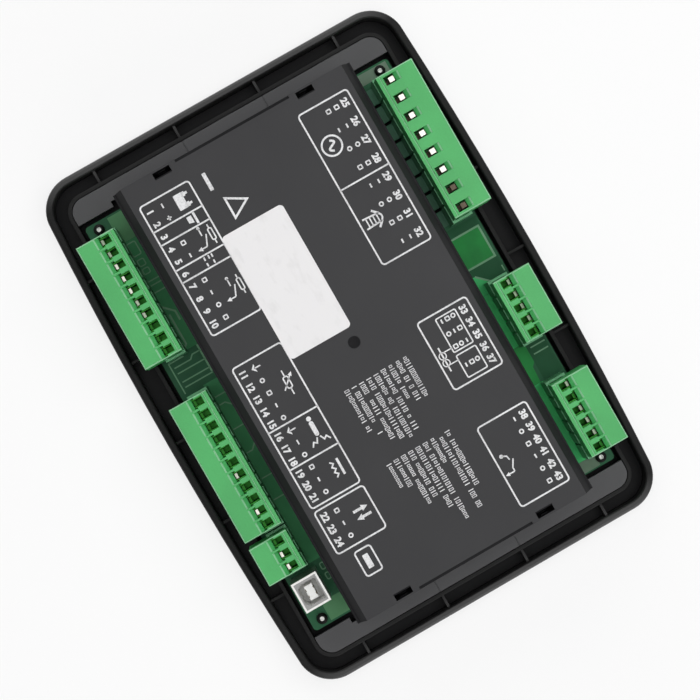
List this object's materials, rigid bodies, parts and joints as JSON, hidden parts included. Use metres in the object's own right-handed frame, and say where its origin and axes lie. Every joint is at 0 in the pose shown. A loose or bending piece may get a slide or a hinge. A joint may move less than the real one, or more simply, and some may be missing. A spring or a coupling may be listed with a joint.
{
  "type": "genset controller",
  "caption": "Panel-mounted generator controller lying on its front: dark bezel, raised rear cover with white print, green plug-in terminal blocks in open bays, USB socket.",
  "frame": {"origin": "middle of the front plane, which the part lies on", "axes": "+X along the long side in reading order of the terminals, +Y towards terminals 25 to 43, +Z out of the rear"},
  "size_m": [0.216, 0.158, 0.043],
  "materials": {
    "case_plastic": "fine-grained moulded black",
    "cover_plastic": "fine-grained moulded dark grey with white print",
    "film": "satin printed film",
    "window": "clear",
    "lcd": "grey-green display glass",
    "lcd_housing": "moulded white",
    "pipe": "frosted clear",
    "led": "clear",
    "dark_part": "moulded black",
    "board": "green solder mask",
    "steel": "zinc plated",
    "relay": "moulded blue",
    "capacitor": "sleeved",
    "plated_metal": "tin plated",
    "shell": "nickel plated",
    "white_plastic": "moulded white",
    "gilt": "gold flashed",
    "label": "blank white film label",
    "key_grey": "moulded grey",
    "key_red": "moulded red",
    "key_green": "moulded green",
    "header_plastic": "moulded green",
    "plug_plastic": "moulded green"
  },
  "bodies": {
    "case": {"front_bezel": "case_plastic", "fascia_film": "film", "display_window": "window", "lcd_glass": "lcd", "lcd_frame": "lcd_housing", "light_pipes": "pipe", "indicator_leds": "led", "key_switches": "dark_part", "main_board": "board", "board_screws": "steel", "processor": "dark_part", "output_relays": "relay", "power_capacitors": "capacitor", "sensing_transformers": "dark_part", "header_10": "header_plastic", "header_11": "header_plastic", "header_3": "header_plastic", "header_8": "header_plastic", "header_5": "header_plastic", "header_6": "header_plastic", "header_pins": "plated_metal", "usb_shell": "shell", "usb_insert": "white_plastic", "usb_contacts": "gilt", "rear_cover": "cover_plastic", "blank_label": "label"},
    "plug_10_body": {"plug_10": "plug_plastic", "clamps_10": "plated_metal", "contacts_10": "plated_metal", "screws_10": "plated_metal"},
    "plug_11_body": {"plug_11": "plug_plastic", "clamps_11": "plated_metal", "contacts_11": "plated_metal", "screws_11": "plated_metal"},
    "plug_3_body": {"plug_3": "plug_plastic", "clamps_3": "plated_metal", "contacts_3": "plated_metal", "screws_3": "plated_metal"},
    "plug_8_body": {"plug_8": "plug_plastic", "clamps_8": "plated_metal", "contacts_8": "plated_metal", "screws_8": "plated_metal"},
    "plug_5_body": {"plug_5": "plug_plastic", "clamps_5": "plated_metal", "contacts_5": "plated_metal", "screws_5": "plated_metal"},
    "plug_6_body": {"plug_6": "plug_plastic", "clamps_6": "plated_metal", "contacts_6": "plated_metal", "screws_6": "plated_metal"},
    "key_stop_body": {"key_stop": "key_red"},
    "key_manual_body": {"key_manual": "key_grey"},
    "key_auto_body": {"key_auto": "key_grey"},
    "key_mute_body": {"key_mute": "key_grey"},
    "key_start_body": {"key_start": "key_green"},
    "key_up_body": {"key_up": "key_grey"},
    "key_down_body": {"key_down": "key_grey"},
    "key_left_body": {"key_left": "key_grey"},
    "key_right_body": {"key_right": "key_grey"}
  },
  "joints": [
    {"name": "plug_10_pull", "type": "slide", "parent": "case", "child": "plug_10_body", "axis": [0, 0, 1], "range_m": [0, 0.012]},
    {"name": "plug_11_pull", "type": "slide", "parent": "case", "child": "plug_11_body", "axis": [0, 0, 1], "range_m": [0, 0.012]},
    {"name": "plug_3_pull", "type": "slide", "parent": "case", "child": "plug_3_body", "axis": [0, 0, 1], "range_m": [0, 0.012]},
    {"name": "plug_8_pull", "type": "slide", "parent": "case", "child": "plug_8_body", "axis": [0, 0, 1], "range_m": [0, 0.012]},
    {"name": "plug_5_pull", "type": "slide", "parent": "case", "child": "plug_5_body", "axis": [0, 0, 1], "range_m": [0, 0.012]},
    {"name": "plug_6_pull", "type": "slide", "parent": "case", "child": "plug_6_body", "axis": [0, 0, 1], "range_m": [0, 0.012]},
    {"name": "key_stop_press", "type": "slide", "parent": "case", "child": "key_stop_body", "axis": [0, 0, 1], "range_m": [0, 0.0005], "stiffness_N_per_m": 3000},
    {"name": "key_manual_press", "type": "slide", "parent": "case", "child": "key_manual_body", "axis": [0, 0, 1], "range_m": [0, 0.0005], "stiffness_N_per_m": 3000},
    {"name": "key_auto_press", "type": "slide", "parent": "case", "child": "key_auto_body", "axis": [0, 0, 1], "range_m": [0, 0.0005], "stiffness_N_per_m": 3000},
    {"name": "key_mute_press", "type": "slide", "parent": "case", "child": "key_mute_body", "axis": [0, 0, 1], "range_m": [0, 0.0005], "stiffness_N_per_m": 3000},
    {"name": "key_start_press", "type": "slide", "parent": "case", "child": "key_start_body", "axis": [0, 0, 1], "range_m": [0, 0.0005], "stiffness_N_per_m": 3000},
    {"name": "key_up_press", "type": "slide", "parent": "case", "child": "key_up_body", "axis": [0, 0, 1], "range_m": [0, 0.0005], "stiffness_N_per_m": 3000},
    {"name": "key_down_press", "type": "slide", "parent": "case", "child": "key_down_body", "axis": [0, 0, 1], "range_m": [0, 0.0005], "stiffness_N_per_m": 3000},
    {"name": "key_left_press", "type": "slide", "parent": "case", "child": "key_left_body", "axis": [0, 0, 1], "range_m": [0, 0.0005], "stiffness_N_per_m": 3000},
    {"name": "key_right_press", "type": "slide", "parent": "case", "child": "key_right_body", "axis": [0, 0, 1], "range_m": [0, 0.0005], "stiffness_N_per_m": 3000}
  ]
}
